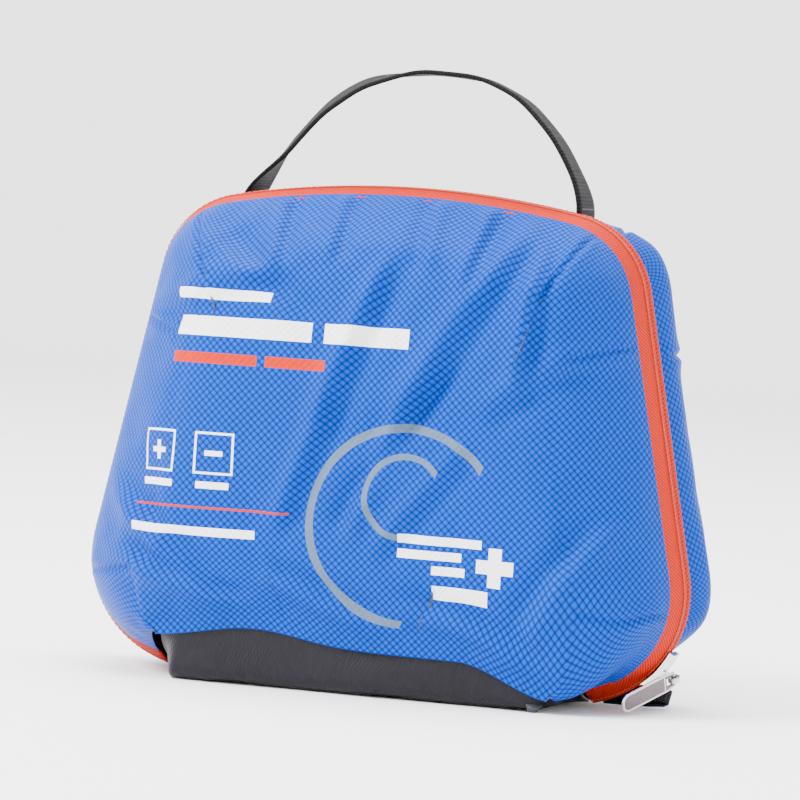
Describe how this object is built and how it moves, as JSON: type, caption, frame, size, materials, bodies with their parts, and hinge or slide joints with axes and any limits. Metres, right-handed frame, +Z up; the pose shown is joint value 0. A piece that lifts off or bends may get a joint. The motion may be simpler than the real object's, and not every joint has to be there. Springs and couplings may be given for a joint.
{
  "type": "first aid kit",
  "caption": "Soft clamshell first aid pouch with a zipped front half, a carry handle and a coated base, filled with dressings and tools.",
  "frame": {"origin": "middle of the base panel's underside, on the zipper's plane", "axes": "+Z up, the front faces -Y, and the zipper's slider is on the +X side"},
  "size_m": [0.218, 0.0775, 0.219],
  "materials": {
    "front_fabric": "jacquard nylon with a lozenge weave, coated inside",
    "rear_fabric": "jacquard nylon with a lozenge weave, coated inside",
    "base_coated": "coated packcloth, satin",
    "zipper_tape": "twill zipper tape",
    "zipper_coil": "moulded coil",
    "slider_plating": "bright plating",
    "zipper_tab": "grosgrain",
    "webbing": "ribbed webbing",
    "binding": "grosgrain binding tape",
    "pocket_mesh": "knitted mesh",
    "wipe_foil": "laminated foil paper",
    "strip_paper": "peel-open paper",
    "booklet_paper": "coated paper",
    "glove_film": "clear film round blue gloves",
    "gauze_paper": "peel-open paper",
    "elastic_weave": "elastic crepe weave",
    "gauze_weave": "open gauze",
    "medical_tape": "non-woven tape",
    "card_core": "wound card",
    "bottle_plastic": "amber tinted",
    "cap_plastic": "ribbed",
    "tube_laminate": "laminate",
    "ointment_cap_plastic": "moulded",
    "shears_steel": "ground",
    "tweezer_steel": "satin",
    "syringe_plastic": "frosted",
    "plunger_plastic": "moulded"
  },
  "bodies": {
    "case": {"front_corner_right": "front_fabric", "front_corner_left": "front_fabric", "rear_shell": "rear_fabric", "base_panel": "base_coated", "front_tape_end_right": "zipper_tape", "front_tape_end_left": "zipper_tape", "rear_tape": "zipper_tape", "rear_coil": "zipper_coil", "rear_binding": "binding", "zipper_tab_right": "zipper_tab", "handle_anchor_right": "webbing", "handle_anchor_left": "webbing", "instruction_booklet": "booklet_paper", "glove_packet": "glove_film", "gauze_pads_packet": "gauze_paper", "elastic_bandage": "elastic_weave", "gauze_roll": "gauze_weave", "tape_roll": "medical_tape", "tape_core": "card_core", "tablet_bottle": "bottle_plastic", "tablet_bottle_cap": "cap_plastic", "ointment_tube": "tube_laminate", "ointment_cap": "ointment_cap_plastic", "shears_blade": "shears_steel", "shears_rivet": "shears_steel", "tweezers": "tweezer_steel", "syringe_barrel": "syringe_plastic"},
    "front": {"front_shell": "front_fabric", "front_tape": "zipper_tape", "front_coil": "zipper_coil", "front_binding": "binding", "front_pocket": "pocket_mesh", "wipe_packet_1": "wipe_foil", "wipe_packet_2": "wipe_foil", "wipe_packet_3": "wipe_foil", "bandage_strips": "strip_paper"},
    "slider": {"slider_body": "slider_plating"},
    "pull": {"pull_tab": "slider_plating"},
    "handle": {"carry_handle": "webbing"},
    "shears_moving": {"shears_arm": "shears_steel"},
    "plunger": {"syringe_plunger": "plunger_plastic"}
  },
  "joints": [
    {"name": "front_fold", "type": "hinge", "parent": "case", "child": "front", "pos_m": [0, -0.0382, 0.01585], "axis": [1, 0, 0], "range_deg": [0, 92]},
    {"name": "slider_travel", "type": "hinge", "parent": "case", "child": "slider", "pos_m": [0.069, 0, 0.04], "axis": [0, -1, 0], "range_deg": [0, 44]},
    {"name": "pull_swing", "type": "hinge", "parent": "slider", "child": "pull", "pos_m": [0.1059, 0, 0.0122], "axis": [-0.031, -0.3781, 0.9252], "range_deg": [0, 110]},
    {"name": "handle_lean", "type": "hinge", "parent": "case", "child": "handle", "pos_m": [0, 0.0132, 0.179], "axis": [1, 0, 0], "range_deg": [-35, 30]},
    {"name": "shears_open", "type": "hinge", "parent": "case", "child": "shears_moving", "pos_m": [-0.004, 0.0224, 0.086], "axis": [0, 1, 0], "range_deg": [0, 14]},
    {"name": "plunger_travel", "type": "slide", "parent": "case", "child": "plunger", "axis": [0, 0, 1], "range_m": [0, 0.013]}
  ]
}
